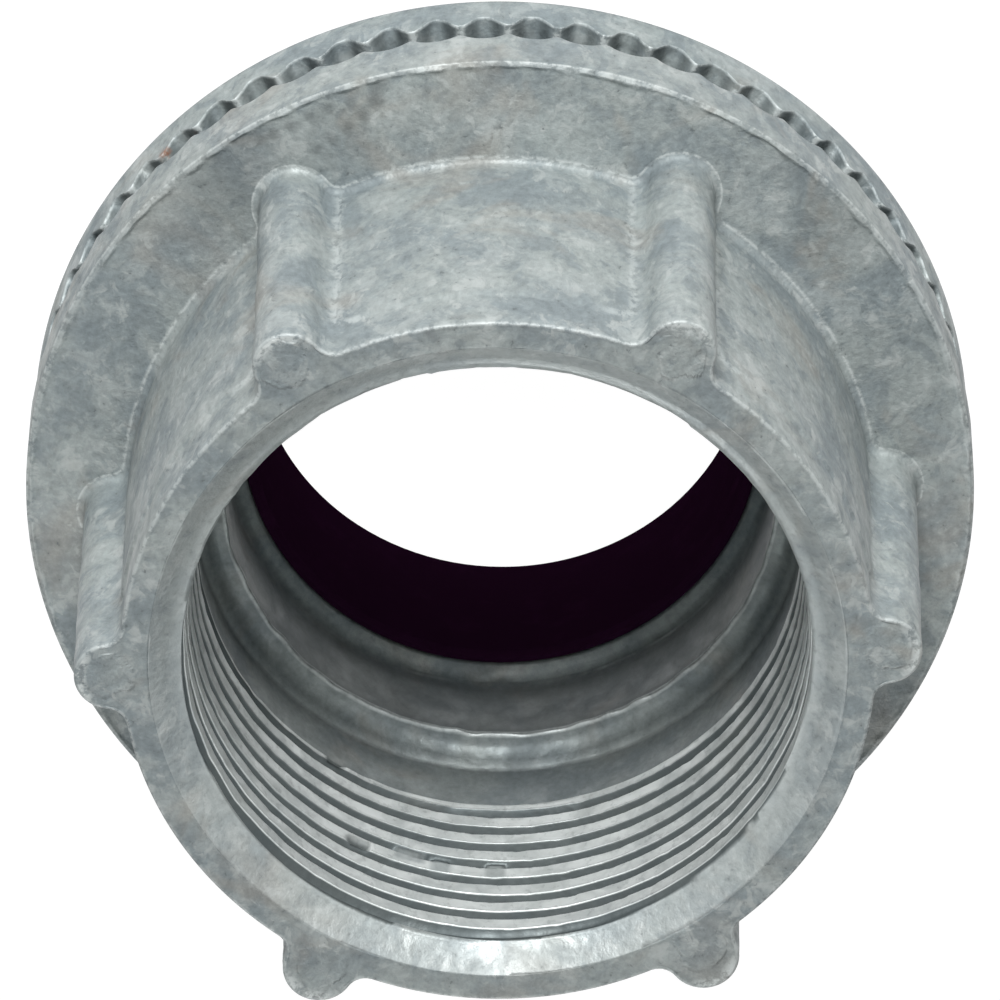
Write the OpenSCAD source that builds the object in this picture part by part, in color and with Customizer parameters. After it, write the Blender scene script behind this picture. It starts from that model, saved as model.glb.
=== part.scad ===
// Conduit hub for 1-1/4 inch rigid conduit: a die-cast socket, flange and nipple in one piece,
// with a sealing ring under the flange, a toothed locknut and a plastic throat liner.
// It stands on the nipple's end at z = 0, and the conduit socket opens upwards along +Z.

/* [Conduit socket] */
// Height of the socket's mouth above the mounting face
body_h = 28.7; // [27.5:0.1:34]
// Outer radius of the socket wall
wall_r = 23.45; // [22.8:0.05:24.5]
// Radius of the socket's bore, at the crests of its pipe thread
socket_r = 19.3; // [19:0.05:19.45]
// Depth of the bore below the mouth
socket_depth = 18.8; // [17:0.1:20.5]
// Radius of the cone at the mouth
mouth_r = 21.7; // [21.55:0.05:22.4]
// Depth of the cone, from the mouth to the thread
mouth_depth = 3.3; // [2:0.1:4]
// Radius of the smooth relief below the thread
relief_r = 19.5; // [18.6:0.05:20.4]
// Length of the relief
relief_len = 5.2; // [4:0.1:6]
// Length of the cone that leads from the relief to the throat
shoulder_len = 1.9; // [1:0.1:2.5]
// Radius of the throat in the metal
throat_r = 17.7; // [17.2:0.05:18.3]

/* [Pipe threads] */
// Pitch of the threads in the socket and on the nipple
thread_pitch = 2.209; // [2:0.001:2.4]
// Depth of a thread's grooves
thread_depth = 0.95; // [0.7:0.05:1.1]
// Width of a groove at the crests
thread_gap = 1.1; // [0.8:0.05:1.4]

/* [Ribs] */
// Number of round grip ribs
rib_count = 6; // [4:1:8]
// Radius of the circle that the ribs' centres lie on
rib_circle_r = 24.1; // [23.6:0.05:24.8]
// Radius of one rib
rib_r = 2.25; // [1.8:0.05:2.6]
// Radius of the hollow between a rib and the wall
rib_fillet_r = 1.3; // [1:0.1:2]
// Turn of the first rib about the axis
rib_phase = 2.9; // [0:0.1:30]

/* [Flange] */
// Radius of the flange
flange_r = 30.05; // [29.6:0.05:31.5]
// Height of the flange's rim above the mounting face
rim_h = 4.3; // [4:0.1:5]
// Rise of the flange's upper face from the rim to the socket wall
flange_rise = 1.0; // [0.5:0.1:1.6]
// Rounding of the rim's upper edge
rim_round = 0.35; // [0.2:0.05:0.6]
// Height of the flare where the wall and ribs meet the flange
foot_h = 0.5; // [0.3:0.1:1]
// Depth of the scallops along the rim's lower edge
scallop_depth = 0.55; // [0.3:0.05:0.8]
// Radius of one scallop
scallop_r = 1.8; // [1.6:0.1:2.4]
// Radial width of the scalloped band
scallop_band = 1.3; // [0.8:0.1:1.6]

/* [Sealing ring] */
// Width of the flange outside the sealing ring's groove
seal_edge = 2.15; // [1.7:0.05:2.6]
// Radius of the sealing ring's round section
seal_section_r = 1.6; // [1.3:0.05:1.7]
// How far the sealing ring stands out of its groove
seal_stand = 0.7; // [0.5:0.05:0.9]

/* [Nipple] */
// Major radius of the nipple's straight thread
nipple_r = 20.8; // [20.4:0.05:21.4]
// Length of the nipple below the mounting face
nipple_len = 17.8; // [15:0.1:20]
// Chamfer at the nipple's end
nipple_chamfer = 0.9; // [0.5:0.1:1.1]
// Radius of the lip that the liner seats against
lip_r = 16.6; // [16.4:0.05:17.1]
// Thickness of the lip at its edge
lip_t = 1.4; // [1:0.1:1.8]
// Height of the slope from the lip's edge to the throat
lip_slope = 0.8; // [0.4:0.1:1.2]
// Depth of the liner's seat, from the nipple's end to the lip
seat_depth = 11.3; // [9:0.1:12.5]

/* [Throat liner] */
// Radius of the wire passage through the liner
liner_bore_r = 15.9; // [15.75:0.05:16.2]
// Outer radius of the liner's sleeve
liner_r = 18.15; // [17.9:0.05:18.4]
// Radius of the liner's flange over the nipple's end
liner_flange_r = 19.5; // [19:0.05:19.8]
// Thickness of the liner's flange
liner_flange_t = 1.0; // [0.8:0.1:1.6]
// Radius of the rounded way out of the liner
bell_r = 1.3; // [0.8:0.1:1.6]
// Chamfer round the liner's upper edge
liner_edge = 0.35; // [0.2:0.05:0.5]

/* [Locknut] */
// How far the locknut's outer wall lies inside the flange's
nut_inset = 0.25; // [0:0.05:0.6]
// Height of the locknut at its teeth
nut_h = 3.85; // [3.6:0.05:5]
// Gap between the mounting face and the teeth as assembled
nut_gap = 1.95; // [1.2:0.05:3]
// Number of teeth
tooth_count = 61; // [54:1:64]
// Depth of the gaps between the teeth
tooth_depth = 1.3; // [0.8:0.05:1.5]
// Width of a gap at the tooth crests
gap_w = 2.6; // [2:0.05:2.7]
// Width of a gap's floor
gap_floor_w = 0.9; // [0.4:0.05:1.2]
// Radial width of the toothed band
tooth_band = 2.6; // [1.8:0.1:3.5]
// Rise of a gap's floor towards the axis
gap_tilt = 12; // [0:1:20]
// Chamfer round the locknut's lower edge
nut_chamfer = 0.3; // [0.2:0.1:0.6]
// Depth of the face inside the toothed band
dish_depth = 1.5; // [1.4:0.1:2]
// Turn of the first gap about the axis
tooth_phase = -87.4; // [-90:0.1:-84]
// Number of drive slots in the locknut's underside
slot_count = 6; // [4:1:8]
// Width of a drive slot
slot_w = 3; // [2:0.1:4]
// Depth of a drive slot
slot_depth = 1.2; // [0.8:0.1:1.4]
// Radial length of a drive slot
slot_len = 4.2; // [3:0.1:5]
// Width of the locknut outside the drive slots
slot_edge = 1.6; // [1.2:0.1:2.3]

/* [Clearances] */
// Radial clearance between the nipple and the locknut
nut_clear = 0.06; // [0.04:0.01:0.1]
// Clearance between the liner's sleeve and its seat
liner_clear = 0.05; // [0.03:0.01:0.1]
// Clearance around the sealing ring in its groove
groove_clear = 0.1; // [0.05:0.05:0.2]

/* [Hidden] */
$fn = 48;
rim_fn = 72;
edge_fn = 16;
over = 1;
seat_r = liner_r + liner_clear;
nipple_end_z = liner_flange_t;
mount_z = nipple_end_z + nipple_len;
mouth_z = mount_z + body_h;
rim_z = mount_z + rim_h;
foot_z = rim_z + flange_rise;
seat_z = nipple_end_z + seat_depth;
lip_z = seat_z + lip_t;
socket_z = mouth_z - socket_depth;
relief_z = socket_z - relief_len;
shoulder_z = relief_z - shoulder_len;
// Each thread is drawn as plain rings, one groove a turn, over as many whole turns as fit
thread_top_z = mouth_z - mouth_depth;
socket_turns = floor((thread_top_z - socket_z) / thread_pitch);
nipple_turns = floor((nipple_len - nipple_chamfer) / thread_pitch);
rib_step = 360 / rib_count;
tooth_step = 360 / tooth_count;
crest_z = mount_z - nut_gap;
nut_z = crest_z - nut_h;
groove_h = 2 * seal_section_r - seal_stand + groove_clear;
groove_half_w = seal_section_r + groove_clear;
seal_r = flange_r - seal_edge - groove_half_w;
nut_r = flange_r - nut_inset;
// Centre of the hollow that runs tangent to the wall and to a rib
fillet_centre_r = wall_r + rib_fillet_r;
fillet_angle = acos((pow(fillet_centre_r, 2) + pow(rib_circle_r, 2) - pow(rib_r + rib_fillet_r, 2))
    / (2 * fillet_centre_r * rib_circle_r));
fillet_centre = fillet_centre_r * [cos(fillet_angle), sin(fillet_angle)];
// How far a hollow cuts past its tangent points, so that its ends are clean corners
fillet_bite = 0.03;

// Edge of a thread from the bottom up, with grooves cut outwards (1) or inwards (-1) from its crests
function thread_edge(low_z, turns, crest_r, side) =
    [for (k = [0 : turns - 1], p = [[0, -thread_gap / 2], [side * thread_depth, 0], [0, thread_gap / 2]])
        [crest_r, low_z + (k + 0.5) * thread_pitch] + p];

// Plan of the ribbed socket
module ribbed_plan() {
    circle(r = wall_r, $fn = rim_fn);
    for (k = [0 : rib_count - 1])
        rotate(rib_phase + k * rib_step)
            for (side = [0, 1])
                mirror([0, side]) {
                    translate([rib_circle_r, 0])
                        circle(r = rib_r);
                    difference() {
                        polygon([[0, 0], [rib_circle_r, 0], fillet_centre]);
                        translate(fillet_centre)
                            circle(r = rib_fillet_r + fillet_bite);
                    }
                }
}

// Flared foot where the wall and the ribs run into the flange's sloping face
module ribbed_foot() {
    flare_h = foot_h + flange_rise;
    translate([0, 0, rim_z]) {
        cylinder(h = flare_h, r1 = wall_r + flare_h, r2 = wall_r, $fn = rim_fn);
        for (k = [0 : rib_count - 1])
            rotate(rib_phase + k * rib_step)
                translate([rib_circle_r, 0, 0])
                    cylinder(h = flare_h, r1 = rib_r + flare_h, r2 = rib_r);
    }
}

// Flange with a rounded rim and a face that slopes up to the wall
module flange() {
    rotate_extrude($fn = rim_fn) {
        polygon([[0, mount_z], [flange_r, mount_z], [flange_r, rim_z - rim_round],
            [flange_r - rim_round, rim_z], [wall_r, foot_z], [0, foot_z]]);
        translate([flange_r - rim_round, rim_z - rim_round])
            circle(r = rim_round, $fn = edge_fn);
    }
}

// Threaded nipple with a lead-in chamfer at its free end
module nipple() {
    thread_low_z = nipple_end_z + nipple_chamfer;
    rotate_extrude()
        polygon(concat(
            [[0, nipple_end_z], [nipple_r - nipple_chamfer, nipple_end_z], [nipple_r, thread_low_z]],
            thread_edge(thread_low_z, nipple_turns, nipple_r, -1),
            [[nipple_r, mount_z + over], [0, mount_z + over]]));
}

// The way through the hub: liner's seat, lip, throat, shoulder, relief, threaded bore and mouth
module passage() {
    thread_low_z = thread_top_z - socket_turns * thread_pitch;
    rotate_extrude()
        polygon(concat(
            [[0, nipple_end_z - over], [seat_r, nipple_end_z - over], [seat_r, seat_z],
            [lip_r, seat_z], [lip_r, lip_z], [throat_r, lip_z + lip_slope], [throat_r, shoulder_z],
            [relief_r, relief_z], [relief_r, socket_z], [socket_r, socket_z]],
            thread_edge(thread_low_z, socket_turns, socket_r, 1),
            [[socket_r, thread_top_z], [mouth_r, mouth_z], [mouth_r, mouth_z + over], [0, mouth_z + over]]));
}

// Groove in the mounting face that holds the sealing ring
module seal_groove() {
    rotate_extrude()
        translate([seal_r - groove_half_w, mount_z - over])
            square([2 * groove_half_w, groove_h + over]);
}

// Shallow scallops along the rim's lower edge, in step with the locknut's gaps
module rim_scallops() {
    for (k = [0 : tooth_count - 1])
        rotate(tooth_phase + k * tooth_step)
            translate([flange_r - scallop_band, 0, mount_z - scallop_r + scallop_depth])
                rotate([0, 90, 0])
                    cylinder(h = scallop_band + over, r = scallop_r, $fn = edge_fn);
}

module hub_body() {
    color([0.62, 0.66, 0.66])
        difference() {
            union() {
                translate([0, 0, rim_z])
                    linear_extrude(body_h - rim_h)
                        ribbed_plan();
                ribbed_foot();
                flange();
                nipple();
            }
            passage();
            seal_groove();
            rim_scallops();
        }
}

module sealing_ring() {
    color([0.12, 0.12, 0.13])
        rotate_extrude()
            translate([seal_r, mount_z - seal_stand + seal_section_r])
                circle(r = seal_section_r, $fn = edge_fn);
}

// Radial cutter for one gap, whose floor rises towards the axis
module tooth_gap() {
    translate([nut_r, 0, crest_z])
        rotate([0, gap_tilt, 0])
            translate([-tooth_band - over, 0, 0])
                rotate([90, 0, 90])
                    linear_extrude(tooth_band + 3 * over)
                        polygon([[-gap_w / 2, over], [-gap_w / 2, 0], [-gap_floor_w / 2, -tooth_depth],
                            [gap_floor_w / 2, -tooth_depth], [gap_w / 2, 0], [gap_w / 2, over]]);
}

// Slot in the underside that a screwdriver drives
module drive_slot() {
    translate([nut_r - slot_edge - slot_len, -slot_w / 2, nut_z - over])
        cube([slot_len, slot_w, slot_depth + over]);
}

module locknut() {
    bore_r = nipple_r + nut_clear;
    color([0.62, 0.66, 0.66])
        difference() {
            union() {
                translate([0, 0, nut_z])
                    cylinder(h = nut_chamfer, r1 = nut_r - nut_chamfer, r2 = nut_r, $fn = rim_fn);
                translate([0, 0, nut_z + nut_chamfer])
                    cylinder(h = nut_h - nut_chamfer, r = nut_r, $fn = rim_fn);
            }
            translate([0, 0, nut_z - over])
                cylinder(h = nut_h + 2 * over, r = bore_r, $fn = rim_fn);
            translate([0, 0, nut_z - over])
                cylinder(h = over + nipple_chamfer, r1 = bore_r + nipple_chamfer + over, r2 = bore_r, $fn = rim_fn);
            translate([0, 0, crest_z - dish_depth])
                cylinder(h = dish_depth + over, r = nut_r - tooth_band, $fn = rim_fn);
            for (k = [0 : tooth_count - 1])
                rotate(tooth_phase + k * tooth_step)
                    tooth_gap();
            for (k = [0 : slot_count - 1])
                rotate(k * 360 / slot_count)
                    drive_slot();
        }
}

module throat_liner() {
    color([0.13, 0.05, 0.16])
        difference() {
            union() {
                cylinder(h = liner_flange_t, r = liner_flange_r);
                cylinder(h = seat_z, r = liner_r);
                cylinder(h = lip_z, r = lip_r - liner_clear);
            }
            translate([0, 0, -over])
                cylinder(h = lip_z + 2 * over, r = liner_bore_r);
            translate([0, 0, lip_z - liner_edge])
                cylinder(h = liner_edge + over, r1 = liner_bore_r, r2 = liner_bore_r + liner_edge + over);
            rotate_extrude()
                difference() {
                    translate([liner_bore_r - over, -over])
                        square([bell_r + over, bell_r + over]);
                    translate([liner_bore_r + bell_r, bell_r])
                        circle(r = bell_r, $fn = edge_fn);
                }
        }
}

hub_body();
sealing_ring();
locknut();
throat_liner();
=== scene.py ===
"""Looks of the conduit hub: a zinc casting with its pipe threads, locknut, seal and liner.

Sizes are in millimetres. Each piece made here is a grid of points, closed into rings. Its masks
are values from 0 to 1 at the points, which the zinc's material reads by name:
  shine    pale worn edges, with painted highlights along edges, panel sides and the wall's foot
  crest    polished crests of the thread
  groove   painted shade, with some dirt, in the threads' grooves and chips and the nut's gaps
  deep     painted shade in the passage's relief and throat; smudges and broad darker areas on
           the flange
  gate     rough sprue marks            rust     spots of rust
  inner    the machined passage
"""

import math
import bpy
import numpy as np
from mathutils import Matrix, Vector


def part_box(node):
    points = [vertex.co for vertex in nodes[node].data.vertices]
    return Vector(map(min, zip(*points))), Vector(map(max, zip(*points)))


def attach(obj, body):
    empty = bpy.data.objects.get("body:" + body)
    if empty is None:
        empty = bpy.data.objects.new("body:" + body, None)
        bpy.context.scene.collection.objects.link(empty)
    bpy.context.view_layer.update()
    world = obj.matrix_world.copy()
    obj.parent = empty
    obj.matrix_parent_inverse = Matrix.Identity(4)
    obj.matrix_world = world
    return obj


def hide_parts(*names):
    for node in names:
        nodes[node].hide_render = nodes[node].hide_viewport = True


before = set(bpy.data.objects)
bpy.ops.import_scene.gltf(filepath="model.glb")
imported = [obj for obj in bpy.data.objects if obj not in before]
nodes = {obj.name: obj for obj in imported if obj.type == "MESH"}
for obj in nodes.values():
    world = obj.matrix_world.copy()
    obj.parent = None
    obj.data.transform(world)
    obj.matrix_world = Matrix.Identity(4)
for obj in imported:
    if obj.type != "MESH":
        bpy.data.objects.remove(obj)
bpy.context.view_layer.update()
MM = 0.001
TURN = 2 * math.pi

# Heights and radii of the solids, from the frame
hub_low, hub_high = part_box("hub_body")
nut_low, nut_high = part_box("locknut")
MOUTH_Z = hub_high.z / MM
NIPPLE_END_Z = hub_low.z / MM
FLANGE_R = hub_high.x / MM
NUT_R = nut_high.x / MM
NUT_Z = nut_low.z / MM
NUT_TOP_Z = nut_high.z / MM

# Socket's wall and its ribs, outside
WALL_R = 23.45
EDGE_ROUND = 0.22
FOOT_Z = 24.1
FOOT_ROUND = 0.48
RIB_COUNT = 6
RIB_CIRCLE_R = 24.1
RIB_R = 2.25
HOLLOW_R = 1.3
RIB_PHASE = math.radians(2.9)
SHELL_COLUMNS = 732

# Raised panels on the wall, one between each two ribs
PANEL_LIFT = 0.16
PANEL_HALF_W = 9.3
PANEL_TOP_DROP = 3.95
PANEL_CORNER = 1.2

# Sprue marks on the mouth's face: radius and angle of each
GATES = ((24.37, -56.7), (23.97, -117.5), (24.24, 2.8), (24.27, -176.2), (24.03, 63.0),
    (23.53, 123.3))
GATE_R = 1.55

# Flange, with the scallops along its rim and the seal's groove in its underside
MOUNT_Z = 18.8
RIM_Z = 23.1
RIM_ROUND = 0.15
RIM_LOW_ROUND = 0.1
SCALLOP_R = 1.85
SCALLOP_DEPTH = 0.64
SCALLOP_BAND = 1.3
GROOVE_IN_R = 24.5
GROOVE_OUT_R = 27.9
GROOVE_H = 2.6

# Dark smudges on the flange, small ones and broad darker areas: radius, angle, size and strength of
# each
SMUDGES = (
    (29.5, -74.4, 0.5, 0.75), (28.5, -73.5, 0.5, 0.9), (27.9, -71.4, 0.45, 0.75),
    (27.4, -69.0, 0.4, 0.6), (27.0, -66.5, 0.35, 0.525), (26.8, -64.0, 0.35, 0.525),
    (28.9, -70.4, 0.35, 0.525), (28.9, -67.6, 0.4, 0.6), (28.9, -65.0, 0.4, 0.675),
    (28.8, -62.4, 0.4, 0.675), (28.8, -59.9, 0.4, 0.675), (29.0, -58.0, 0.35, 0.6),
    (27.3, -52.0, 3.6, 0.51), (26.6, -66.0, 2.4, 0.3), (28.2, -137.0, 2.2, 0.375),
    (29.3, -128.0, 1.2, 0.3),
)

# Cone at the mouth: the drops below the mouth, and the radius at each
MOUTH_R = 21.7
MOUTH_CONE = ((0.0, 1.32, 1.75, 1.8), (21.7, 20.38, 19.65, 0.0))

# Passage below the thread: relief, shoulder, throat, lip and the liner's seat
SOCKET_Z = 29.2
RELIEF_R = 19.5
RELIEF_Z = 23.5
SHOULDER_Z = 21.6
THROAT_R = 17.7
LIP_R = 16.6
LIP_Z = 13.7
LIP_TOP_Z = LIP_Z + 0.8
SEAT_Z = 12.3
SEAT_R = 18.2
SOCKET_COLUMNS = 480

# Round turns in the passage's profile: radius, and height above the named level
SOCKET_END = ((RELIEF_R - 0.1, -0.35), (RELIEF_R, -0.6))
RELIEF_END = ((RELIEF_R - 0.05, 0.02), (RELIEF_R - 0.2, -0.1), (RELIEF_R - 0.55, -0.6))
SHOULDER_EDGE = ((18.45, 0.75), (18.1, 0.55), (17.85, 0.5), (17.62, 0.42), (17.52, 0.25),
    (17.6, 0.0), (THROAT_R, -0.3))
SHOULDER_RIDGE = 0.34
THROAT_END = ((THROAT_R - 0.02, 0.12), (THROAT_R - 0.12, -0.04))
LIP_EDGE = ((17.15, 0.42), (16.78, 0.15), (16.66, 0.04), (LIP_R, -0.12))

# Nipple
NIPPLE_R = 20.8
NIPPLE_CHAMFER = 0.9
NIPPLE_TOP_Z = MOUNT_Z + 0.4
NIPPLE_COLUMNS = 300

# Hidden sides of the casting's three pieces, inside its wall: radius and height
SHELL_BACK = ((20.1, MOUNT_Z), (20.1, 20.5), (22.0, 27.5), (22.0, MOUTH_Z - 0.6))
LINING_BACK = ((18.9, SEAT_Z + 0.1), (18.9, 20.0), (20.4, 23.0), (22.2, 27.0),
    (22.2, MOUTH_Z - 0.55))
NIPPLE_BACK = ((19.3, NIPPLE_END_Z), (SEAT_R, NIPPLE_END_Z), (SEAT_R, 11.0), (18.6, 13.0),
    (18.6, NIPPLE_TOP_Z))

# Pipe threads, 11.5 turns to the inch, and where their rows lie along the crest and the groove
PITCH = 25.4 / 11.5
THREAD_DEPTH = 0.95
CREST_R = 19.6
CREST_TAPER = 1 / 32
CREST_SHARE = 0.53
FIRST_CREST_DROP = 2.785
RUN_OUT_Z = 30.7
NIPPLE_CREST_SHARE = 0.4
CREST_KNOTS = np.array([0.0, 0.02, 0.14, 0.37, 0.63, 0.86, 0.98])
GROOVE_KNOTS = np.array([0.0, 0.04, 0.15, 0.33, 0.45, 0.55, 0.67, 0.85, 0.96])

# Marks on the socket's thread: angle, height, half width and half height of each chip in a
# crest, and of each place where metal is smeared into a groove
CHIPS = ((63.5, 38.15, 0.7, 0.35), (57.5, 29.3, 0.6, 0.3))
SMEARS = ((79.8, 37.3, 0.65, 0.6), (90.0, 37.3, 0.6, 0.6), (73.8, 36.9, 0.95, 0.5))

# Teeth of the locknut, in step with the scallops, and where points lie across half a gap
TOOTH_COUNT = 61
TOOTH_PHASE = math.radians(-87.4)
TOOTH_DEPTH = 1.3
TOOTH_BAND = 2.6
TOOTH_ROUND = 0.1
GAP_W = 2.82
GAP_FLOOR_W = 0.5
GAP_TILT = math.radians(12)
GAP_KNOTS = np.array([0.04, 0.2, 0.4, 0.6, 0.8, 1.0, 1.16, 1.3, 1.4, 1.49])

# Rest of the locknut: chamfer, dished face, bore and drive slots
NUT_CHAMFER = 0.3
DISH_R = 27.12
DISH_DEPTH = 1.5
NUT_BORE_R = 20.86
NUT_BORE_CHAMFER = 0.9
SLOT_COUNT = 6
SLOT_W = 3.0
SLOT_DEPTH = 1.2
SLOT_OUT_R = 28.2
SLOT_IN_R = 24.0
SLOT_STEP = 0.03

# Spots of rust on the locknut's teeth: angle and size of each
RUST_SPOTS = ((-43.5, 0.55), (-48.6, 0.3))

# Colours of the zinc and of the rust
ZINC = {
    "blue": (0.225, 0.262, 0.272),
    "grey": (0.30, 0.335, 0.33),
    "pale patch": (0.375, 0.41, 0.405),
    "dark patch": (0.185, 0.218, 0.23),
    "brown stain": (0.31, 0.292, 0.258),
    "bloom": (0.46, 0.49, 0.48),
    "fleck": (0.11, 0.13, 0.135),
    # Pale worn edges, also used for painted highlights along edges, panel sides and the foot
    "worn": (0.62, 0.66, 0.65),
    "polished": (0.70, 0.74, 0.73),
    # Painted shade, with some dirt, in grooves, chips and gaps
    "groove": (0.05, 0.062, 0.064),
    # Painted shade in the passage's relief and throat, and the flange's smudges and darker areas
    "shade_and_smudges": (0.06, 0.07, 0.072),
}
RUST = (0.22, 0.10, 0.055)

# The floor lies below the nipple's end, and below the locknut at the end of its travel
FLOOR_Z = -5.6


def smooth(edge0, edge1, x):
    """Smooth step from 0 at edge0 to 1 at edge1."""
    t = np.clip((x - edge0) / (edge1 - edge0), 0, 1)
    return t * t * (3 - 2 * t)


def waves(points, size, seed, count=24):
    """Gentle seeded unevenness, mostly from -1 to 1, with bumps about size across."""
    rng = np.random.default_rng(seed)
    direction = rng.normal(size=(count, 3))
    direction /= np.linalg.norm(direction, axis=1)[:, None]
    wave = direction * (TURN / (size * rng.uniform(1.2, 3.0, count)))[:, None]
    phase = rng.uniform(0, TURN, count)
    return np.cos(points @ wave.T + phase).sum(axis=-1) / math.sqrt(count)


def round_points(r, z, angle):
    """A row of points round the axis, where r and z may vary with the angle."""
    r = np.broadcast_to(r, angle.shape)
    z = np.broadcast_to(z, angle.shape)
    return np.stack([r * np.cos(angle), r * np.sin(angle), z], axis=-1)


def raised(xy, z):
    """A row of points over flat ones, at a height that may vary along the row."""
    return np.concatenate([xy, np.broadcast_to(z, xy.shape[:1])[:, None]], axis=1)


def distance_from(xy, r, degrees):
    """Distance of each flat point from the place at a radius and an angle."""
    at = math.radians(degrees)
    return np.hypot(xy[:, 0] - r * math.cos(at), xy[:, 1] - r * math.sin(at))


def add_mesh(name, points, quads, **masks):
    """A mesh object from a grid of points, with equal points joined and empty faces left out.
    Each mask is a value at every point, kept as an attribute that the materials read."""
    flat = points.reshape(-1, 3)
    keys = np.round(flat * 1e5).astype(np.int64)
    _, first, inverse = np.unique(keys, axis=0, return_index=True, return_inverse=True)
    quads = inverse.reshape(-1)[quads]
    tris = np.concatenate([quads[:, [0, 1, 2]], quads[:, [0, 2, 3]]])
    a, b, c = tris.T
    tris = tris[(a != b) & (b != c) & (a != c)]
    verts = flat[first] * MM
    v0, v1, v2 = (verts[tris[:, k]] for k in range(3))
    if np.einsum("ij,ij->i", v0, np.cross(v1, v2)).sum() < 0:
        tris = tris[:, ::-1]
    mesh = bpy.data.meshes.new(name)
    mesh.vertices.add(len(verts))
    mesh.vertices.foreach_set("co", verts.astype(np.float32).ravel())
    mesh.loops.add(tris.size)
    mesh.loops.foreach_set("vertex_index", tris.astype(np.int32).ravel())
    mesh.polygons.add(len(tris))
    mesh.polygons.foreach_set("loop_start", np.arange(0, tris.size, 3, dtype=np.int32))
    mesh.polygons.foreach_set("use_smooth", np.ones(len(tris), bool))
    for mask, value in masks.items():
        value = np.broadcast_to(value, points.shape[:-1]).reshape(-1)[first]
        kept = mesh.attributes.new(mask, "FLOAT", "POINT")
        kept.data.foreach_set("value", value.astype(np.float32))
    mesh.update()
    mesh.validate()
    piece = bpy.data.objects.new(name, mesh)
    bpy.context.scene.collection.objects.link(piece)
    return piece


def ring_quads(rows, columns):
    """Quads of a grid whose rows and columns both close on themselves."""
    r, c = np.meshgrid(np.arange(rows), np.arange(columns), indexing="ij")
    r2, c2 = (r + 1) % rows, (c + 1) % columns
    corners = (r * columns + c, r * columns + c2, r2 * columns + c2, r2 * columns + c)
    return np.stack(corners, axis=-1).reshape(-1, 4)


def split_quads(rows, columns):
    """Quads of a grid whose rows close, and whose last column lies on its first."""
    r, c = np.meshgrid(np.arange(rows), np.arange(columns - 1), indexing="ij")
    r2 = (r + 1) % rows
    corners = (r * columns + c, r * columns + c + 1, r2 * columns + c + 1, r2 * columns + c)
    return np.stack(corners, axis=-1).reshape(-1, 4)


class Rows:
    """Rows of points that become one closed mesh, with the value of each mask along every row."""

    def __init__(self, *masks):
        self.points = []
        self.masks = {mask: [] for mask in masks}

    def add(self, points, **values):
        self.points.append(points)
        for mask, kept in self.masks.items():
            kept.append(np.broadcast_to(values.get(mask, 0.0), len(points)))

    def mesh(self, name):
        points = np.stack(self.points)
        masks = {mask: np.stack(kept) for mask, kept in self.masks.items()}
        return add_mesh(name, points, ring_quads(*points.shape[:2]), **masks)


def ribbed_outline(count):
    """Points and outward normals along the ribbed wall, evenly spaced, from between two ribs."""
    hollow_c = WALL_R + HOLLOW_R
    hollow_angle = math.acos((hollow_c ** 2 + RIB_CIRCLE_R ** 2 - (RIB_R + HOLLOW_R) ** 2)
        / (2 * hollow_c * RIB_CIRCLE_R))
    centre = hollow_c * np.array([math.cos(hollow_angle), math.sin(hollow_angle)])
    rib = np.array([RIB_CIRCLE_R, 0.0])
    turn = math.atan2(*(centre - rib)[::-1])
    half = math.pi / RIB_COUNT

    def arc(middle, radius, start, end, outward):
        steps = max(8, int(abs(end - start) * radius / 0.02))
        a = np.linspace(start, end, steps)
        unit = np.stack([np.cos(a), np.sin(a)], axis=-1)
        return middle + radius * unit, unit * outward

    upper = [
        arc(rib, RIB_R, 0, turn, 1),
        arc(centre, HOLLOW_R, turn + math.pi, hollow_angle + math.pi, -1),
        arc(np.zeros(2), WALL_R, hollow_angle, half, 1),
    ]
    points = np.concatenate([p for p, n in upper])
    normals = np.concatenate([n for p, n in upper])
    flip = np.array([1, -1])
    points = np.concatenate([points[::-1] * flip, points])
    normals = np.concatenate([normals[::-1] * flip, normals])
    steps = np.linalg.norm(np.diff(points, axis=0), axis=1)
    length = np.concatenate([[0], np.cumsum(steps)])
    per_rib = count // RIB_COUNT
    at = (np.arange(per_rib) + 0.5) / per_rib * length[-1]
    sector = np.stack([np.interp(at, length, points[:, k]) for k in (0, 1)], axis=-1)
    sector_n = np.stack([np.interp(at, length, normals[:, k]) for k in (0, 1)], axis=-1)
    out, out_n = [], []
    for k in range(RIB_COUNT):
        a = RIB_PHASE + k * 2 * half
        spin = np.array([[math.cos(a), math.sin(a)], [-math.sin(a), math.cos(a)]])
        out.append(sector @ spin)
        out_n.append(sector_n @ spin)
    out_n = np.concatenate(out_n)
    return np.concatenate(out), out_n / np.linalg.norm(out_n, axis=1)[:, None]


def flange_z(r):
    """Height of the flange's sloping upper face."""
    return FOOT_Z - (r - WALL_R) * (FOOT_Z - RIM_Z) / (FLANGE_R - RIM_ROUND - WALL_R)


def scalloped_z(angle):
    """Height of the flange's underside at its rim, where each scallop lifts it."""
    step = TURN / TOOTH_COUNT
    off = (angle - TOOTH_PHASE + step / 2) % step - step / 2
    inside = np.clip(SCALLOP_R ** 2 - (off * FLANGE_R) ** 2, 0, None)
    return MOUNT_Z + np.clip(np.sqrt(inside) - (SCALLOP_R - SCALLOP_DEPTH), 0, None)


def gate_marks(xy):
    """Share of each point inside a ragged sprue mark, and on the raised rim of one."""
    nearest = np.min([distance_from(xy, *gate) for gate in GATES], axis=0)
    away = nearest + 0.2 * waves(raised(xy, 0), 0.9, 14)
    return smooth(GATE_R + 0.12, GATE_R - 0.12, away), smooth(0.26, 0.06, np.abs(away - GATE_R))


def smudges(xy):
    """Strength of the flange's dark smudges and broad darker areas at each point."""
    total = 0
    for r, degrees, size, strength in SMUDGES:
        total = total + strength * smooth(1.6 * size, 0.4 * size, distance_from(xy, r, degrees))
    return np.clip(total, 0, 0.8)


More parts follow.
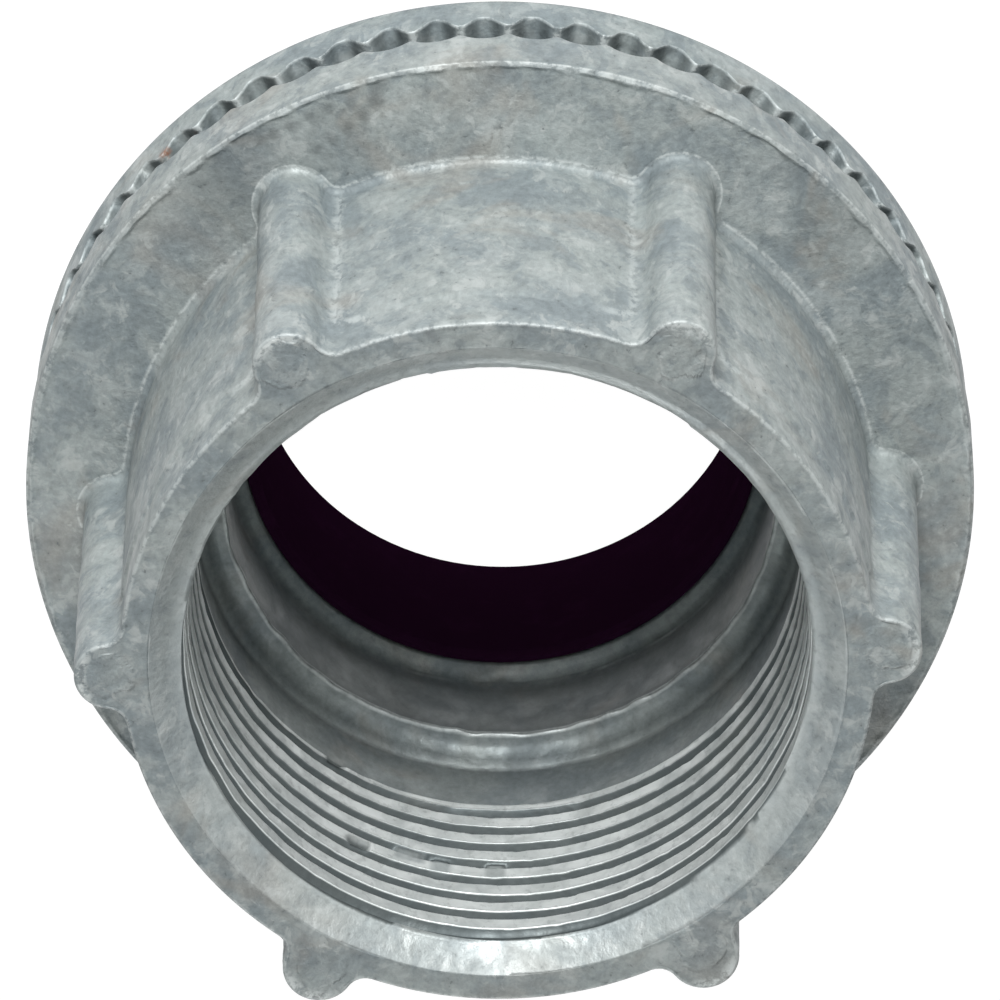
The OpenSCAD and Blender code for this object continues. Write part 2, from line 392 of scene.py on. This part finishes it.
def add_mouth_face(rows, outline, normal, rim_unit):
    """The mouth's face with its sprue marks, from the cone's edge over the rounded outer edge."""
    tip = smooth(RIB_CIRCLE_R + 1.2, RIB_CIRCLE_R + 2.0, np.linalg.norm(outline, axis=1))
    inner = MOUTH_R * rim_unit
    edge = outline - normal * EDGE_ROUND
    for t in np.linspace(0, 1, 22):
        xy = inner + (edge - inner) * t
        p = raised(xy, MOUTH_Z)
        inside, ring = gate_marks(xy)
        drop = 0.025 + 0.02 * waves(p, 0.6, 11) \
            + inside * (0.035 + 0.035 * waves(p, 0.5, 15)) - 0.01 * ring
        drop = np.clip(drop, 0, None) * smooth(0, 0.1, t) * smooth(1.0, 0.95, t)
        # shine: pale wear with a painted highlight on the outer edge, strongest at the ribs' tips
        rows.add(raised(xy, MOUTH_Z - drop), gate=inside,
            shine=0.15 * (t == 1) + 0.75 * tip * smooth(0.84, 0.95, t))
    # The rounded outer edge, pale and with a painted highlight
    for turn in np.radians([22, 45, 68]):
        xy = outline - normal * EDGE_ROUND * (1 - math.sin(turn))
        rows.add(raised(xy, MOUTH_Z - EDGE_ROUND * (1 - math.cos(turn))), shine=0.45)


def add_wall(rows, outline, normal):
    """The ribbed wall, with a slightly raised panel between each two ribs."""
    top = MOUTH_Z - EDGE_ROUND
    bottom = FOOT_Z + FOOT_ROUND
    sector = TURN / RIB_COUNT
    angle = np.unwrap(np.arctan2(outline[:, 1], outline[:, 0]))
    between = np.abs((angle - RIB_PHASE) % sector - sector / 2) * WALL_R
    above_panel = np.linspace(top, MOUTH_Z - 3.3, 7)
    panel_edge = np.linspace(MOUTH_Z - 3.6, MOUTH_Z - 5.3, 12)
    below_edge = np.linspace(MOUTH_Z - 5.7, bottom, 28)
    for z in np.concatenate([above_panel, panel_edge, below_edge]):
        p = raised(outline, z)
        side = between + 0.1 * waves(p, 1.2, 16)
        x, y = side - PANEL_HALF_W + PANEL_CORNER, z - MOUTH_Z + PANEL_TOP_DROP + PANEL_CORNER
        corner = np.hypot(np.maximum(x, 0), np.maximum(y, 0)) - PANEL_CORNER
        away = np.minimum(np.maximum(x, y), 0) + corner
        fade = smooth(top, top - 1, z) * smooth(bottom, bottom + 1, z)
        off = PANEL_LIFT * smooth(0.16, -0.16, away) \
            + (0.035 * waves(p, 3.0, 5) + 0.014 * waves(p, 0.9, 6)) * fade
        # crease: a painted highlight along each panel's sides; shine also lightens the top row
        crease = smooth(0.4, 0.1, np.abs(away - 0.05)) \
            * smooth(PANEL_HALF_W - 2.5, PANEL_HALF_W - 1, side)
        rows.add(raised(outline + normal * off[:, None] * fade, z),
            shine=0.32 * crease + 0.15 * (z == top))


def add_flange(rows, outline, normal, rim_unit):
    """The foot, where the wall runs into the flange, and the flange's sloping upper face."""
    # The foot's rounding, with a painted highlight along it where it meets the flange
    for turn in np.radians([18, 36, 54, 72, 90]):
        xy = outline + normal * FOOT_ROUND * (1 - math.cos(turn))
        z = flange_z(np.linalg.norm(xy, axis=1)) + FOOT_ROUND * (1 - math.sin(turn))
        rows.add(raised(xy, z), shine=0.6 * smooth(1.35, 1.5, turn))
    foot = outline + normal * FOOT_ROUND
    rim = rim_unit * (FLANGE_R - RIM_ROUND)
    face = np.linspace(0, 0.9, 17)[1:]
    for t in np.concatenate([[0.03], face, [0.93, 0.95, 0.97, 0.985, 1.0]]):
        xy = foot + (rim - foot) * t
        r = np.linalg.norm(xy, axis=1)
        p = raised(xy, 0)
        ridge = smooth(FLANGE_R - 0.5, FLANGE_R - 0.3, r + 0.07 * waves(p, 0.9, 17)) \
            * smooth(FLANGE_R - RIM_ROUND, FLANGE_R - RIM_ROUND - 0.08, r)
        lift = 0.03 * waves(p, 3.0, 8) * smooth(0, 0.2, t) * smooth(1, 0.95, t) \
            + 0.1 * ridge * (1 + 0.7 * waves(p, 0.7, 9))
        # shine: a painted highlight along the ridge near the rim and at the rim's edge, over pale
        # wear; deep: the flange's smudges and darker areas
        rows.add(raised(xy, flange_z(r) + lift), deep=smudges(xy),
            shine=0.25 * ridge + 0.25 * (t == 1))


def add_rim(rows, rim_unit, low):
    """The rim, from its rounded upper edge down to the scallops."""
    # shine: painted highlights on the rim's rounded upper and lower edges, over pale wear
    for turn in np.radians([30, 60, 90]):
        xy = rim_unit * (FLANGE_R - RIM_ROUND * (1 - math.sin(turn)))
        rows.add(raised(xy, RIM_Z - RIM_ROUND * (1 - math.cos(turn))), shine=0.5 * (turn < 1.2))
    high = RIM_Z - RIM_ROUND
    for t in np.linspace(0, 1, 14)[1:]:
        z = high + (low + RIM_LOW_ROUND - high) * t
        dent = np.clip(0.03 * waves(raised(rim_unit * FLANGE_R, z), 2.5, 12), -0.08, 0.0)
        rows.add(raised(rim_unit * (FLANGE_R + dent[:, None]), z))
    for turn in np.radians([30, 60, 90]):
        xy = rim_unit * (FLANGE_R - RIM_LOW_ROUND * (1 - math.cos(turn)))
        rows.add(raised(xy, low + RIM_LOW_ROUND * (1 - math.sin(turn))), shine=0.3)


def add_underside(rows, rim_unit, low):
    """The flange's underside with the seal's groove, and the shell's hidden side."""
    for r in np.linspace(FLANGE_R - 0.4, FLANGE_R - SCALLOP_BAND, 4):
        rows.add(raised(rim_unit * r, low))
    groove_top = MOUNT_Z + GROOVE_H
    face = ((FLANGE_R - SCALLOP_BAND - 0.08, MOUNT_Z), (GROOVE_OUT_R, MOUNT_Z),
        (GROOVE_OUT_R, groove_top), (GROOVE_IN_R, groove_top), (GROOVE_IN_R, MOUNT_Z))
    for r, z in face + SHELL_BACK:
        rows.add(raised(rim_unit * r, z))


def hub_shell():
    """The socket's outer wall with its ribs, the mouth's face, and the flange."""
    outline, normal = ribbed_outline(SHELL_COLUMNS)
    start = RIB_PHASE - math.pi / RIB_COUNT
    angle = start + (np.arange(SHELL_COLUMNS) + 0.5) * TURN / SHELL_COLUMNS
    rim_unit = np.stack([np.cos(angle), np.sin(angle)], axis=-1)
    low = scalloped_z(angle)
    rows = Rows("shine", "gate", "deep")
    add_mouth_face(rows, outline, normal, rim_unit)
    add_wall(rows, outline, normal)
    add_flange(rows, outline, normal, rim_unit)
    add_rim(rows, rim_unit, low)
    add_underside(rows, rim_unit, low)
    return rows.mesh("hub_shell")


def groove_depth(turn, crest_share):
    """Depth of a thread's groove, from 0 on the crest to 1 at the root, along each turn."""
    root = (crest_share + 1) / 2
    flank = (1 - crest_share) / 2
    return np.clip(1.04 - np.abs(turn % 1 - root) / flank, 0, 1)


def seam_angle(columns):
    """Angles of a grid's columns once round the axis, with the seam on the near side."""
    return math.pi / 2 + (np.arange(columns + 1) / columns - 0.5) * TURN


def helical_rows(columns, low, high, first, crest_share, radius):
    """Rows that follow a right-hand thread between two heights, from the top down, with the turn
    at each point. The last column lies on the first one turn on, and rows past the ends gather on
    the end planes."""
    helix = np.arange(columns + 1) / columns - 0.5
    groove_knots = crest_share + (1 - crest_share) * GROOVE_KNOTS
    knots = np.concatenate([crest_share * CREST_KNOTS, groove_knots])
    top = math.ceil((high - first) / PITCH + 0.5)
    bottom = math.floor((low - first) / PITCH - 1.5)
    level = np.array([k + knot for k in range(top, bottom - 1, -1) for knot in knots[::-1]])
    z = np.clip(first + (level[:, None] + helix) * PITCH, low, high)
    turn = (z - first) / PITCH - helix
    angle = seam_angle(columns)[None, :] + 0 * z
    points = round_points(radius(z, turn, angle), z, angle)
    steps = len(knots)
    points[steps:, -1] = points[:-steps, 0]
    points[:steps, -1] = points[0, 0]
    return points, turn


def circle_rows(profile, like):
    """Rows at constant radius and height for each (r, z), with another grid's columns."""
    angle = np.arctan2(like[0, :, 1], like[0, :, 0])
    rows = np.stack([round_points(r, z, angle) for r, z in profile])
    rows[:, -1] = rows[:, 0]
    return rows


def spot(z, angle, at, height, half_w, half_h):
    """Share of each point on the socket's thread that lies in one of its marks."""
    across = smooth(half_w + 0.12, half_w - 0.12, np.abs(angle - math.radians(at)) * CREST_R)
    return across * smooth(half_h + 0.12, half_h - 0.12, np.abs(z - height))


def socket_radius(z, turn, angle):
    """Radius of the socket's worn taper thread, cut back by the cone at the mouth."""
    drop = MOUTH_Z - z
    crest = CREST_R - drop * CREST_TAPER
    p = round_points(crest, z, angle)
    run_out = smooth(RUN_OUT_Z - PITCH, RUN_OUT_Z, z) * smooth(0.8, 2.4, drop)
    r = crest + groove_depth(turn, CREST_SHARE) * THREAD_DEPTH * run_out
    for mark in CHIPS:
        r = np.maximum(r, crest + 0.3 * spot(z, angle, *mark))
    for mark in SMEARS:
        r = r - (r - crest - 0.1) * 0.85 * spot(z, angle, *mark) * (r > crest + 0.1)
    r = r + 0.02 * waves(p, 1.4, 21)
    worn = 0.05 * np.clip(waves(p, 0.7, 22) - 0.6, 0, 1)
    return np.clip(np.maximum(r + worn, np.interp(drop, *MOUTH_CONE)), None, MOUTH_R)


def passage_profile():
    """Radius and height down the passage, from the thread's end to the liner's seat."""
    def at(level, turns):
        return [(r, level + rise) for r, rise in turns]

    def straight(r, high, low, count):
        return [(r, z) for z in np.linspace(high, low, count)]

    end_r = CREST_R - (MOUTH_Z - SOCKET_Z) * CREST_TAPER
    return [(end_r + 0.12, SOCKET_Z - 0.1)] + at(SOCKET_Z, SOCKET_END) \
        + straight(RELIEF_R, SOCKET_Z - 1.2, RELIEF_Z + 0.2, 7) + at(RELIEF_Z, RELIEF_END) \
        + at(SHOULDER_Z, SHOULDER_EDGE) + straight(THROAT_R, SHOULDER_Z - 1.2, LIP_TOP_Z + 0.4, 9) \
        + at(LIP_TOP_Z, THROAT_END) + at(LIP_Z, LIP_EDGE) + [(LIP_R, SEAT_Z), (SEAT_R, SEAT_Z)]


def thread_masks(thread, turn):
    """Shares of painted shade, with some dirt, in the grooves and chips, and of polished crest,
    at each point of the socket's thread.
    """
    z = thread[..., 2]
    edge = 0.04 * smooth(MOUTH_Z - 14, MOUTH_Z - 2, z)
    past_cone = np.hypot(thread[..., 0], thread[..., 1]) - np.interp(MOUTH_Z - z, *MOUTH_CONE)
    sunken = smooth(edge, edge + 0.06, groove_depth(turn, CREST_SHARE)) \
        * smooth(RUN_OUT_Z - PITCH, RUN_OUT_Z - 1, z) * smooth(0.0, 0.06, past_cone)
    angle = seam_angle(z.shape[1] - 1)
    dull = sum(spot(z, angle, at, height + 0.4, half_w, half_h + 0.3)
        for at, height, half_w, half_h in SMEARS)
    chipped = sum(spot(z, angle, *mark) for mark in CHIPS)
    # groove: painted shade, with some dirt, in the sunken grooves and chips; less where metal is
    # smeared in
    groove = np.maximum(sunken * (1 - 0.8 * dull), 0.8 * chipped)
    bright = 0.24 + 0.76 * smooth(MOUTH_Z - 1.4, MOUTH_Z - 2.4, z)
    return groove, (1 - groove) * (1 - 0.7 * dull) * bright


def socket_lining():
    """The passage's inner face: the mouth's cone, taper pipe thread, relief, throat and lip."""
    first = MOUTH_Z - FIRST_CREST_DROP - PITCH * CREST_SHARE / 2
    thread, turn = helical_rows(SOCKET_COLUMNS, SOCKET_Z, MOUTH_Z, first, CREST_SHARE,
        socket_radius)
    lower = circle_rows(passage_profile(), thread)
    z = lower[..., 2]
    angle = np.arctan2(lower[..., 1], lower[..., 0])
    r = np.hypot(lower[..., 0], lower[..., 1])
    ridge = smooth(0.15, 0.06, np.abs(z - SHOULDER_Z - SHOULDER_RIDGE))
    r = r + (0.02 + 0.05 * ridge) * waves(lower, 1.1, 23) * (z > LIP_TOP_Z)
    relief_edge = smooth(0.12, 0.05, np.abs(z - RELIEF_Z + 0.03))
    lower[..., 0], lower[..., 1] = r * np.cos(angle), r * np.sin(angle)
    lower[:, -1] = lower[:, 0]
    points = np.concatenate([thread, lower, circle_rows(LINING_BACK, thread)])
    z = points[..., 2]
    groove, crest, shine = np.zeros((3, *z.shape))
    upper, below = slice(0, len(thread)), slice(len(thread), len(thread) + len(lower))
    groove[upper], crest[upper] = thread_masks(thread, turn)
    # The shoulder's flash ridge and the relief's edge are paler; shine paints a highlight on the
    # ridge
    crest[below] = 0.6 * ridge + 0.2 * relief_edge
    shine[below] = 0.4 * ridge
    # deep: painted shade over the throat, and fainter painted shade over the relief
    throat = smooth(SHOULDER_Z + 0.5, SHOULDER_Z - 0.1, z) \
        * smooth(LIP_TOP_Z - 0.3, LIP_TOP_Z + 1.2, z)
    relief = smooth(SOCKET_Z, SOCKET_Z - 1, z) \
        * smooth(SHOULDER_Z + 0.3, SHOULDER_Z + 0.6, z)
    return add_mesh("socket_lining", points, split_quads(*z.shape), groove=groove, shine=shine,
        deep=np.maximum(throat, 0.35 * relief), crest=crest,
        inner=smooth(MOUTH_Z - 0.4, MOUTH_Z - 2.2, z))


def nipple_radius(z, turn, angle):
    """Radius of the nipple's straight thread, with the chamfer at its end."""
    depth = groove_depth(turn, NIPPLE_CREST_SHARE) * THREAD_DEPTH \
        * smooth(MOUNT_Z - 0.4, MOUNT_Z - 1.8, z)
    p = round_points(NIPPLE_R, z, angle)
    r = NIPPLE_R - 0.01 - depth - 0.02 * np.clip(waves(p, 1.5, 31), 0, 1)
    return np.minimum(r, NIPPLE_R - NIPPLE_CHAMFER + (z - NIPPLE_END_Z))


def nipple():
    """The male-threaded nipple below the flange."""
    thread, turn = helical_rows(NIPPLE_COLUMNS, NIPPLE_END_Z, NIPPLE_TOP_Z,
        NIPPLE_END_Z + NIPPLE_CHAMFER, NIPPLE_CREST_SHARE, nipple_radius)
    points = np.concatenate([thread, circle_rows(NIPPLE_BACK, thread)])
    groove = np.zeros(points.shape[:2])
    # Painted shade, with some dirt, in the nipple's grooves
    groove[: len(thread)] = 0.6 * groove_depth(turn, NIPPLE_CREST_SHARE)
    return add_mesh("nipple", points, split_quads(*points.shape[:2]), groove=groove)


def rust_on(points):
    """Share of rust at each point of the locknut."""
    total = 0
    for degrees, size in RUST_SPOTS:
        at = round_points(NUT_R - 0.3, NUT_TOP_Z - 0.3, np.array([math.radians(degrees)]))[0]
        away = np.linalg.norm(points - at, axis=-1) + 0.1 * waves(points, 0.5, 44)
        total = total + smooth(size, 0.4 * size, away)
    return np.clip(total, 0, 1)


def toothed_locknut():
    """The locknut, with its ring of teeth, dished face and drive slots."""
    knots = np.concatenate([-GAP_KNOTS[::-1], GAP_KNOTS]) / NUT_R
    middle = TOOTH_PHASE + np.arange(TOOTH_COUNT)[:, None] * TURN / TOOTH_COUNT
    angle = (middle + knots).ravel()
    x = np.tile(knots, TOOTH_COUNT) * NUT_R
    rng = np.random.default_rng(41)
    depth_share = np.repeat(1 + 0.08 * rng.normal(size=TOOTH_COUNT), len(knots))
    width_share = np.repeat(1 + 0.03 * rng.normal(size=TOOTH_COUNT), len(knots))
    flank = np.clip((GAP_W / 2 * width_share - np.abs(x)) / (GAP_W - GAP_FLOOR_W) * 2, 0, 1)
    shape = 0.3 * flank + 0.7 * smooth(0, 1, flank)
    # pocket: painted shade on the gaps' flanks, heaviest halfway down, lighter on the floor
    pocket = 0.6 * 4 * shape * (1 - shape) + 0.2 * shape
    rows = Rows("shine", "groove", "rust")

    def top(r):
        rough = 0.05 * waves(round_points(r, NUT_TOP_Z, angle), 0.5, 43) * smooth(0, 0.2, shape)
        tilt = (NUT_R - r) * math.tan(GAP_TILT) * smooth(0, 0.4, shape)
        floor = NUT_TOP_Z - TOOTH_DEPTH * depth_share * shape + tilt + rough
        return np.minimum(floor, NUT_TOP_Z)

    def row(r, z, shine=0.0, groove=0.0):
        points = round_points(r, z, angle)
        rows.add(points, shine=shine, groove=groove, rust=rust_on(points))

    # Outer wall and the teeth
    row(NUT_R - NUT_CHAMFER, NUT_Z)
    low = NUT_Z + NUT_CHAMFER
    row(NUT_R, low)
    for t in np.linspace(0, 1, 8)[1:]:
        z = low + (top(NUT_R) - TOOTH_ROUND - low) * t
        row(NUT_R + np.clip(0.03 * waves(round_points(NUT_R, z, angle), 2.2, 42), -0.1, 0), z)
    # Rounded top edge: pale wear with a painted highlight, strongest at the tooth tips
    for turn in np.radians([30, 60, 90]):
        r = NUT_R - TOOTH_ROUND * (1 - math.cos(turn))
        row(r, top(r) - TOOTH_ROUND * (1 - math.sin(turn)),
            shine=0.35 + 0.6 * (1 - smooth(0.0, 0.3, shape)))
    # Top band: a painted highlight on the tooth tips, and painted shade in the gaps
    band = np.linspace(NUT_R - 0.4, NUT_R - TOOTH_BAND, 9)
    for r in np.concatenate([[NUT_R - 0.22], band]):
        row(r, top(r), shine=0.9 * (1 - smooth(0.0, 0.12, shape)), groove=pocket)

    # Dished face, bore, and underside with its slots
    face = NUT_TOP_Z - DISH_DEPTH
    for r, z in ((DISH_R, face), (25.0, face), (21.5, face), (NUT_BORE_R, face - 0.3),
            (NUT_BORE_R, NUT_Z + NUT_BORE_CHAMFER), (NUT_BORE_R + NUT_BORE_CHAMFER, NUT_Z)):
        row(r, z)
    step = TURN / SLOT_COUNT
    away = np.abs((angle + step / 2) % step - step / 2)
    for r in (22.8, SLOT_IN_R - SLOT_STEP, SLOT_IN_R + SLOT_STEP, 25.4, 26.8,
            SLOT_OUT_R - SLOT_STEP, SLOT_OUT_R + SLOT_STEP):
        inside = (away * r < SLOT_W / 2) & (SLOT_IN_R < r < SLOT_OUT_R)
        row(r, NUT_Z + np.where(inside, SLOT_DEPTH, 0.0))
    return rows.mesh("toothed_locknut")


class Shade:
    """A short way to build a material's nodes."""

    def __init__(self, name):
        self.material = bpy.data.materials.new(name)
        self.material.use_nodes = True
        self.tree = self.material.node_tree
        self.shader = self.tree.nodes["Principled BSDF"]
        self.place = self.node("ShaderNodeTexCoord").outputs["Object"]

    def node(self, kind, **values):
        made = self.tree.nodes.new(kind)
        for key, value in values.items():
            setattr(made, key, value)
        return made

    def put(self, socket, value):
        if isinstance(value, bpy.types.NodeSocket):
            self.tree.links.new(value, socket)
        else:
            socket.default_value = value

    def math(self, operation, a, b):
        made = self.node("ShaderNodeMath", operation=operation)
        self.put(made.inputs[0], a)
        self.put(made.inputs[1], b)
        return made.outputs[0]

    def times(self, a, b):
        return self.math("MULTIPLY", a, b)

    def noise(self, size, detail, rough, stretch=(1, 1, 1), warp=0.0):
        """Noise from 0 to 1 with features about size across."""
        scaled = self.node("ShaderNodeMapping")
        self.put(scaled.inputs["Vector"], self.place)
        scaled.inputs["Scale"].default_value = tuple(s / (size * MM) for s in stretch)
        made = self.node("ShaderNodeTexNoise")
        self.put(made.inputs["Vector"], scaled.outputs[0])
        made.inputs["Scale"].default_value = 1.0
        made.inputs["Detail"].default_value = detail
        made.inputs["Roughness"].default_value = rough
        made.inputs["Distortion"].default_value = warp
        return made.outputs["Fac"]

    def span(self, value, low, high, to_low=0.0, to_high=1.0, kind="SMOOTHSTEP"):
        """The value stretched so that low to high becomes to_low to to_high."""
        made = self.node("ShaderNodeMapRange", interpolation_type=kind)
        self.put(made.inputs["Value"], value)
        made.inputs["From Min"].default_value = low
        made.inputs["From Max"].default_value = high
        made.inputs["To Min"].default_value = to_low
        made.inputs["To Max"].default_value = to_high
        return made.outputs["Result"]

    def mask(self, name):
        return self.node("ShaderNodeAttribute", attribute_name=name).outputs["Fac"]

    def mix(self, share, a, b, blend="MIX"):
        made = self.node("ShaderNodeMix", data_type="RGBA", blend_type=blend)
        self.put(made.inputs[0], share)
        for socket, value in ((made.inputs[6], a), (made.inputs[7], b)):
            self.put(socket, (*value, 1.0) if isinstance(value, tuple) else value)
        return made.outputs[2]

    def bump(self, height, strength, distance):
        made = self.node("ShaderNodeBump")
        made.inputs["Strength"].default_value = strength
        made.inputs["Distance"].default_value = distance * MM
        self.put(made.inputs["Height"], height)
        self.put(self.shader.inputs["Normal"], made.outputs["Normal"])


def zinc(name, tint=(1.0, 1.0, 1.0)):
    """As-cast zinc alloy: mottled blue-grey with pale bloom, dark flecks, brownish stains,
    bright worn edges with painted highlights, and painted shade in grooves and hollows. In the
    machined passage it is plainer, smoother and more metallic."""
    s = Shade(name)
    tone = {key: tuple(v * t for v, t in zip(rgb, tint)) for key, rgb in ZINC.items()}
    upright = (1, 1, 0.7)
    broad = s.noise(6.0, 2.0, 0.5, warp=0.4)
    patch = s.noise(2.2, 4.0, 0.62, stretch=upright, warp=0.4)
    cloud = s.noise(1.3, 3.0, 0.6, stretch=upright, warp=0.8)
    fine = s.noise(0.5, 3.0, 0.65, stretch=upright)
    stain = s.noise(8.0, 3.0, 0.6, warp=0.8)
    inner = s.mask("inner")
    crest = s.mask("crest")
    outer = s.span(inner, 0, 1, 1, 0.3)

    # Mottling
    colour = s.mix(s.span(broad, 0.35, 0.65), tone["blue"], tone["grey"])
    colour = s.mix(s.times(s.span(patch, 0.5, 0.6, 0, 0.5), outer), colour, tone["pale patch"])
    colour = s.mix(s.times(s.span(patch, 0.46, 0.36, 0, 0.6), outer), colour, tone["dark patch"])
    colour = s.mix(s.span(stain, 0.53, 0.70, 0, 0.45), colour, tone["brown stain"])
    colour = s.mix(1.0, colour, s.span(fine, 0.25, 0.75, 0.8, 1.2, "LINEAR"), "MULTIPLY")
    bloom = s.times(s.span(cloud, 0.54, 0.63), s.span(patch, 0.4, 0.56, 0.0, 0.5))
    colour = s.mix(s.times(bloom, outer), colour, tone["bloom"])
    colour = s.mix(s.times(s.span(fine, 0.33, 0.27, 0, 0.6), outer), colour, tone["fleck"])

    # Wear and painted highlights, polish, painted shade with dirt and smudges, and rust
    # Pale worn edges, and painted highlights along edges, panel sides and the wall's foot
    worn = s.times(s.mask("shine"), s.span(fine, 0.4, 0.55, 0.15, 1.0))
    colour = s.mix(worn, colour, tone["worn"])
    polished = s.times(crest, s.span(patch, 0.35, 0.6, 0.7, 1.0))
    polished = s.times(polished, s.span(fine, 0.34, 0.44, 0.75, 1.0))
    colour = s.mix(polished, colour, tone["polished"])
    # Painted shade, with some dirt, in the grooves, chips and gaps
    colour = s.mix(s.times(s.mask("groove"), 0.85), colour, tone["groove"])
    # Painted shade in the passage's relief and throat; smudges and darker areas on the flange
    colour = s.mix(s.times(s.mask("deep"), 0.62), colour, tone["shade_and_smudges"])
    colour = s.mix(s.times(s.mask("rust"), s.span(fine, 0.4, 0.6, 0.2, 0.9)), colour, RUST)
    s.put(s.shader.inputs["Base Color"], colour)

    metal = s.math("ADD", s.span(inner, 0, 1, 0.14, 0.45), s.times(crest, 0.2))
    s.put(s.shader.inputs["Metallic"], metal)
    s.shader.inputs["Specular IOR Level"].default_value = 0.3
    rough = s.math("SUBTRACT", s.span(patch, 0.3, 0.7, 0.62, 0.42), s.times(inner, 0.06))
    s.put(s.shader.inputs["Roughness"], rough)
    height = s.math("ADD", fine, s.times(patch, 1.6))
    height = s.times(height, s.span(s.mask("gate"), 0, 1, 1, 2))
    height = s.times(height, s.span(inner, 0, 1, 1, 0.35))
    s.bump(height, 0.7, 0.1)
    return s.material


def plastic(name, colour, rough, gloss):
    """Dark moulded plastic or rubber with a faint grain."""
    s = Shade(name)
    haze = s.noise(3.0, 4.0, 0.6)
    pale = tuple(1.6 * v for v in colour)
    s.put(s.shader.inputs["Base Color"], s.mix(s.span(haze, 0.5, 0.8, 0, 0.5), colour, pale))
    s.shader.inputs["Specular IOR Level"].default_value = gloss
    s.put(s.shader.inputs["Roughness"], s.span(haze, 0.3, 0.7, rough - 0.05, rough + 0.08))
    s.bump(s.noise(0.3, 4.0, 0.6), 0.25, 0.04)
    return s.material


def dress(piece, material):
    piece.data.materials.clear()
    piece.data.materials.append(material)
    return piece


cast_zinc = zinc("cast_zinc")
nut_zinc = zinc("nut_zinc", (0.97, 0.99, 1.0))

for piece in (hub_shell(), socket_lining(), nipple()):
    dress(piece, cast_zinc)
    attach(piece, "hub")
    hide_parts("hub_body")
nut = dress(toothed_locknut(), nut_zinc)
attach(nut, "locknut")
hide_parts("locknut")
dress(nodes["sealing_ring"], plastic("seal_rubber", (0.03, 0.03, 0.032), 0.62, 0.2))
dress(nodes["throat_liner"], plastic("liner_plastic", (0.05, 0.012, 0.045), 0.5, 0.0))


def place_in_scene(name, data):
    made = bpy.data.objects.new(name, data)
    bpy.context.scene.collection.objects.link(made)
    return made


def camera():
    """The photograph's view: from the near side and above, rolled upside down."""
    rise = math.radians(64.25)
    roll = math.radians(180.717)
    distance = 1022.2
    zoom = 16.138
    target = Vector((-0.007, 0, MOUTH_Z - 23.519))
    back = Vector((0, -math.cos(rise), math.sin(rise)))
    right = Vector((1, 0, 0))
    up = back.cross(right)
    x = right * math.cos(roll) + up * math.sin(roll)
    y = up * math.cos(roll) - right * math.sin(roll)
    place = Matrix((x, y, back)).transposed().to_4x4()
    place.translation = (target + back * distance) * MM
    data = bpy.data.cameras.new("camera")
    data.sensor_width = 36
    data.lens = data.sensor_width * zoom
    data.clip_start = 0.05
    made = place_in_scene("camera", data)
    made.matrix_world = place
    bpy.context.scene.camera = made


def soft_lamp(name, place, size, watts):
    """A round lamp turned to the hub, with its place and size in metres."""
    data = bpy.data.lights.new(name, "AREA")
    data.shape = "DISK"
    data.size = size
    data.energy = watts
    made = place_in_scene(name, data)
    made.location = place
    hub_middle = Vector((0, 0, 0.03))
    made.rotation_euler = (hub_middle - Vector(place)).to_track_quat("-Z", "Y").to_euler()


def seen_directly(tree):
    """1 for a ray that shows the background: from the camera, in a gloss or through glass."""
    path = tree.nodes.new("ShaderNodeLightPath")
    total = path.outputs["Is Camera Ray"]
    for ray in ("Is Glossy Ray", "Is Transmission Ray"):
        both = tree.nodes.new("ShaderNodeMath")
        both.operation = "MAXIMUM"
        tree.links.new(total, both.inputs[0])
        tree.links.new(path.outputs[ray], both.inputs[1])
        total = both.outputs[0]
    return total


def white_world(fill):
    """A background that looks white, and lights the object with only a little fill."""
    world = bpy.data.worlds.new("studio")
    bpy.context.scene.world = world
    world.use_nodes = True
    tree = world.node_tree
    light = tree.nodes["Background"]
    strength = tree.nodes.new("ShaderNodeMapRange")
    tree.links.new(seen_directly(tree), strength.inputs["Value"])
    strength.inputs["To Min"].default_value = fill
    strength.inputs["To Max"].default_value = 1.0
    light.inputs["Color"].default_value = (1, 1, 1, 1)
    tree.links.new(strength.outputs["Result"], light.inputs["Strength"])


def pale_floor():
    """A floor that looks nearly white with the object's soft shadow, and lights it as pale grey."""
    mesh = bpy.data.meshes.new("floor")
    half = 3.0
    corners = [(-half, -half, 0), (half, -half, 0), (half, half, 0), (-half, half, 0)]
    mesh.from_pydata(corners, [], [(0, 1, 2, 3)])
    floor = place_in_scene("floor", mesh)
    floor.location.z = FLOOR_Z * MM
    material = bpy.data.materials.new("floor")
    material.use_nodes = True
    tree = material.node_tree
    tree.nodes.remove(tree.nodes["Principled BSDF"])
    plain = tree.nodes.new("ShaderNodeBsdfDiffuse")
    plain.inputs["Color"].default_value = (0.65, 0.65, 0.65, 1)
    thin = tree.nodes.new("ShaderNodeBsdfDiffuse")
    thin.inputs["Color"].default_value = (0.12, 0.12, 0.12, 1)
    glow = tree.nodes.new("ShaderNodeEmission")
    glow.inputs["Strength"].default_value = 0.985
    seen = tree.nodes.new("ShaderNodeAddShader")
    tree.links.new(thin.outputs[0], seen.inputs[0])
    tree.links.new(glow.outputs[0], seen.inputs[1])
    both = tree.nodes.new("ShaderNodeMixShader")
    tree.links.new(seen_directly(tree), both.inputs[0])
    tree.links.new(plain.outputs[0], both.inputs[1])
    tree.links.new(seen.outputs[0], both.inputs[2])
    tree.links.new(both.outputs[0], tree.nodes["Material Output"].inputs["Surface"])
    mesh.materials.append(material)


camera()
pale_floor()
white_world(0.12)
soft_lamp("key", (0.02, -0.44, 0.28), 0.24, 3.1)
soft_lamp("back", (0.06, 0.44, 0.16), 0.3, 1.1)

bpy.context.scene.view_settings.view_transform = "Standard"
